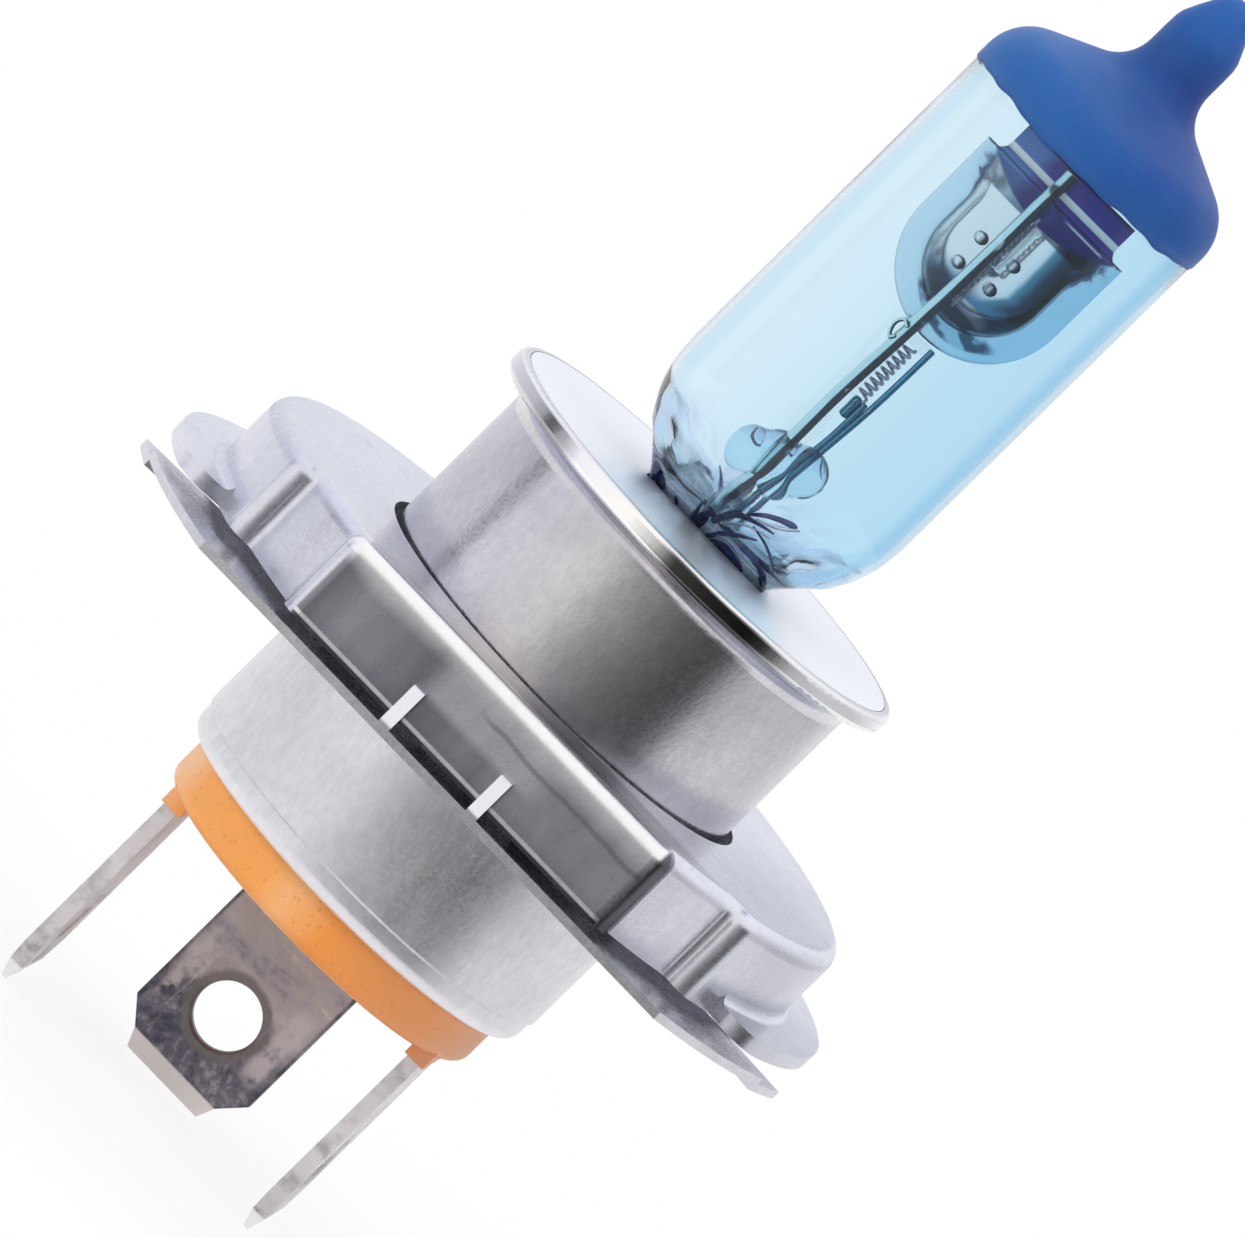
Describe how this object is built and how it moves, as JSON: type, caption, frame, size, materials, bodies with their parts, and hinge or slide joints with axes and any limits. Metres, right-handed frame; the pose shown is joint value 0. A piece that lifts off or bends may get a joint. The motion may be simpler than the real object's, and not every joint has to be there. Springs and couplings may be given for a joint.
{
  "type": "headlight bulb",
  "caption": "Double-filament halogen headlight bulb: tinted glass with a painted tip, dip shield, flared sleeve, flanged cap, insulator and blade terminals.",
  "frame": {"origin": "on the bulb's axis in the cap's reference plane, which is the upper face of the flange's brim", "axes": "+Z along the axis towards the glass tip; -Y through the flange's flat; +Y towards the crosswise terminal; +X completes the right-handed set"},
  "size_m": [0.0434, 0.0376, 0.0755],
  "materials": {
    "blue_glass": "clear, blue tint",
    "blue_paint": "opaque satin lacquer",
    "bright_sheet": "bright",
    "tungsten": "drawn wire",
    "lead_wire": "drawn wire",
    "foil": "thin foil",
    "holder_steel": "satin",
    "sleeve_steel": "grainy satin, polished lip",
    "flange_steel": "satin",
    "spring_steel": "satin",
    "orange_plastic": "moulded",
    "terminal_metal": "tarnished tin plate"
  },
  "bodies": {
    "root": {"glass_envelope": "blue_glass", "tip_coating": "blue_paint", "dipped_beam_shield": "bright_sheet", "dipped_beam_filament": "tungsten", "main_beam_filament": "tungsten", "shield_support_wire": "lead_wire", "main_beam_lead": "lead_wire", "dipped_beam_lead": "lead_wire", "main_filament_crimp": "lead_wire", "main_filament_clamp": "bright_sheet", "glass_bridge_bead": "blue_glass", "foil_earth": "foil", "foil_main_beam": "foil", "foil_dipped_beam": "foil", "outer_lead_earth": "lead_wire", "outer_lead_main_beam": "lead_wire", "outer_lead_dipped_beam": "lead_wire", "pinch_clamp": "holder_steel", "holder_disc": "holder_steel", "sleeve": "sleeve_steel", "mounting_flange": "flange_steel", "spring_plate": "spring_steel", "base_cup": "sleeve_steel", "insulator": "orange_plastic", "terminal_earth": "terminal_metal", "terminal_main_beam": "terminal_metal", "terminal_dipped_beam": "terminal_metal"}
  },
  "joints": []
}
